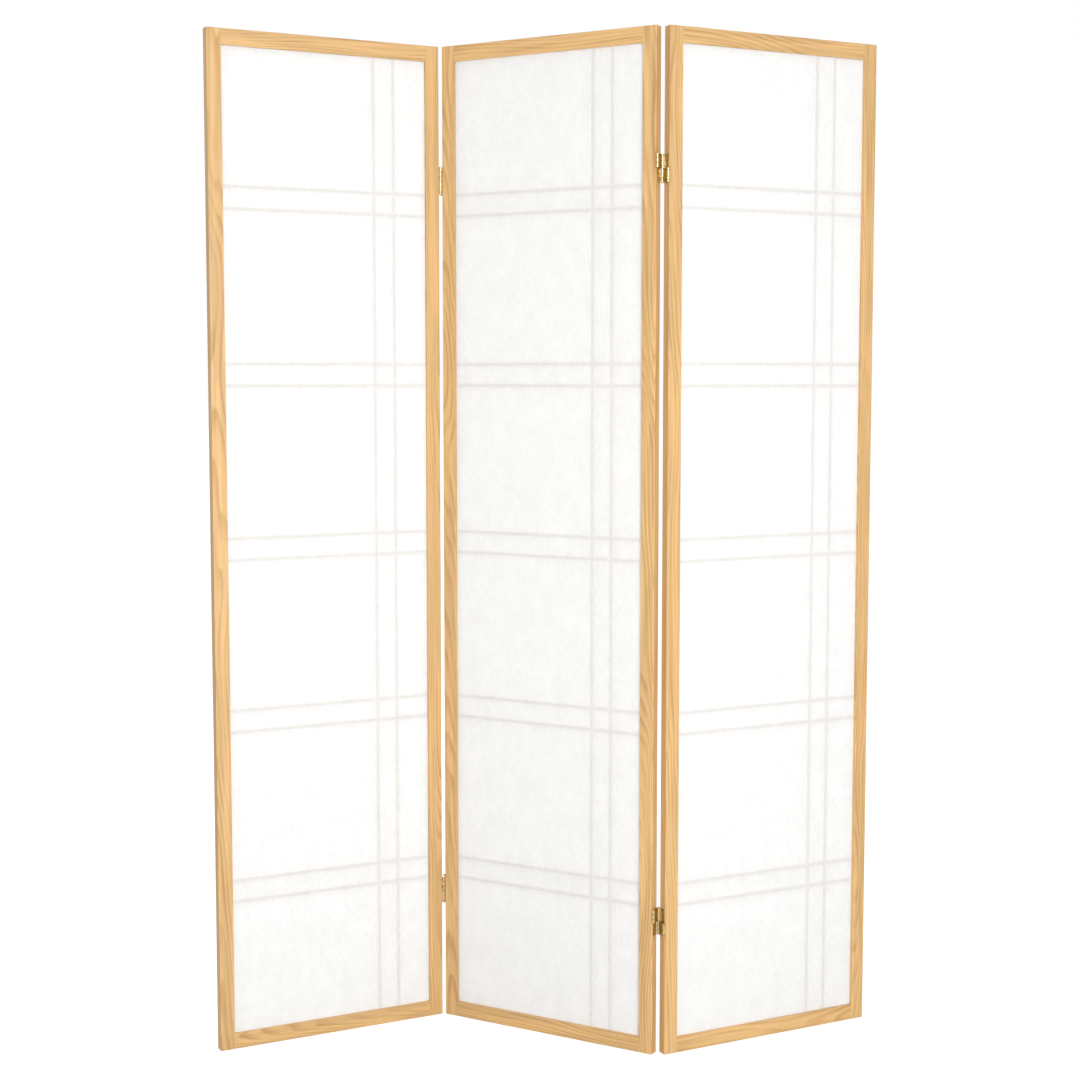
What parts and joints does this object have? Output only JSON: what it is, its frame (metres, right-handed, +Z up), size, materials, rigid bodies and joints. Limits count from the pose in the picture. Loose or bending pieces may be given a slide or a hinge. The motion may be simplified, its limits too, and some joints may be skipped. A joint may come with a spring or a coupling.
{
  "type": "folding shoji screen",
  "caption": "Free-standing folding room divider of pale wood frames with translucent paper over an offset lattice, joined by two-way brass hinges.",
  "frame": {"origin": "on the floor, under the centre of the middle panel", "axes": "+Z up, -Y towards the paper side of the screen, +Y towards its lattice side, +X along the row to the right as seen from the paper side"},
  "size_m": [1.1722, 0.2345, 1.784],
  "materials": {
    "frame_spruce": "clear satin lacquer over straight-grained spruce",
    "bar_spruce": "clear satin lacquer",
    "paper": "white translucent fibre paper, matt",
    "hinge_brass": "antique brass, worn bright on the knuckles",
    "pin_brass": "antique brass",
    "screw_brass": "antique brass plated screws"
  },
  "bodies": {
    "left_panel": {"left_panel_left_stile": "frame_spruce", "left_panel_right_stile": "frame_spruce", "left_panel_top_rail": "frame_spruce", "left_panel_bottom_rail": "frame_spruce", "left_panel_paper": "paper", "left_panel_cross_bars_1": "bar_spruce", "left_panel_cross_bars_2": "bar_spruce", "left_panel_cross_bars_3": "bar_spruce", "left_panel_cross_bars_4": "bar_spruce", "left_panel_cross_bars_5": "bar_spruce", "left_panel_upright_bars": "bar_spruce", "left_panel_hinge_pins": "pin_brass", "left_panel_hinge_screws": "screw_brass", "left_fold_upper_left_leaf": "hinge_brass", "left_fold_lower_left_leaf": "hinge_brass"},
    "middle_panel": {"middle_panel_left_stile": "frame_spruce", "middle_panel_right_stile": "frame_spruce", "middle_panel_top_rail": "frame_spruce", "middle_panel_bottom_rail": "frame_spruce", "middle_panel_paper": "paper", "middle_panel_cross_bars_1": "bar_spruce", "middle_panel_cross_bars_2": "bar_spruce", "middle_panel_cross_bars_3": "bar_spruce", "middle_panel_cross_bars_4": "bar_spruce", "middle_panel_cross_bars_5": "bar_spruce", "middle_panel_upright_bars": "bar_spruce", "middle_panel_hinge_pins": "pin_brass", "middle_panel_hinge_screws": "screw_brass", "left_fold_upper_right_leaf": "hinge_brass", "left_fold_lower_right_leaf": "hinge_brass", "right_fold_upper_left_leaf": "hinge_brass", "right_fold_lower_left_leaf": "hinge_brass"},
    "right_panel": {"right_panel_left_stile": "frame_spruce", "right_panel_right_stile": "frame_spruce", "right_panel_top_rail": "frame_spruce", "right_panel_bottom_rail": "frame_spruce", "right_panel_paper": "paper", "right_panel_cross_bars_1": "bar_spruce", "right_panel_cross_bars_2": "bar_spruce", "right_panel_cross_bars_3": "bar_spruce", "right_panel_cross_bars_4": "bar_spruce", "right_panel_cross_bars_5": "bar_spruce", "right_panel_upright_bars": "bar_spruce", "right_panel_hinge_pins": "pin_brass", "right_panel_hinge_screws": "screw_brass", "right_fold_upper_right_leaf": "hinge_brass", "right_fold_lower_right_leaf": "hinge_brass"},
    "left_fold_left_links": {"left_fold_upper_left_link": "hinge_brass", "left_fold_lower_left_link": "hinge_brass", "left_fold_centre_pins": "pin_brass"},
    "left_fold_right_links": {"left_fold_upper_right_link": "hinge_brass", "left_fold_lower_right_link": "hinge_brass"},
    "right_fold_left_links": {"right_fold_upper_left_link": "hinge_brass", "right_fold_lower_left_link": "hinge_brass", "right_fold_centre_pins": "pin_brass"},
    "right_fold_right_links": {"right_fold_upper_right_link": "hinge_brass", "right_fold_lower_right_link": "hinge_brass"}
  },
  "joints": [
    {"name": "left_fold_middle_side_pin", "type": "hinge", "parent": "middle_panel", "child": "left_fold_right_links", "pos_m": [-0.1964, 0.09691, 0.892], "axis": [0, 0, 1], "range_deg": [-28.75, 61.25]},
    {"name": "left_fold_centre_pin", "type": "hinge", "parent": "left_fold_right_links", "child": "left_fold_left_links", "pos_m": [-0.1964, 0.11591, 0.892], "axis": [0, 0, 1], "range_deg": [-180, 0]},
    {"name": "left_fold_outer_side_pin", "type": "hinge", "parent": "left_fold_left_links", "child": "left_panel", "pos_m": [-0.1964, 0.09691, 0.892], "axis": [0, 0, 1], "range_deg": [-28.75, 61.25]},
    {"name": "right_fold_middle_side_pin", "type": "hinge", "parent": "middle_panel", "child": "right_fold_left_links", "pos_m": [0.18726, -0.11357, 0.892], "axis": [0, 0, 1], "range_deg": [-90, 0]},
    {"name": "right_fold_centre_pin", "type": "hinge", "parent": "right_fold_left_links", "child": "right_fold_right_links", "pos_m": [0.1964, -0.09691, 0.892], "axis": [0, 0, 1], "range_deg": [-57.5, 122.5]},
    {"name": "right_fold_outer_side_pin", "type": "hinge", "parent": "right_fold_right_links", "child": "right_panel", "pos_m": [0.20554, -0.11357, 0.892], "axis": [0, 0, 1], "range_deg": [-90, 0]}
  ]
}
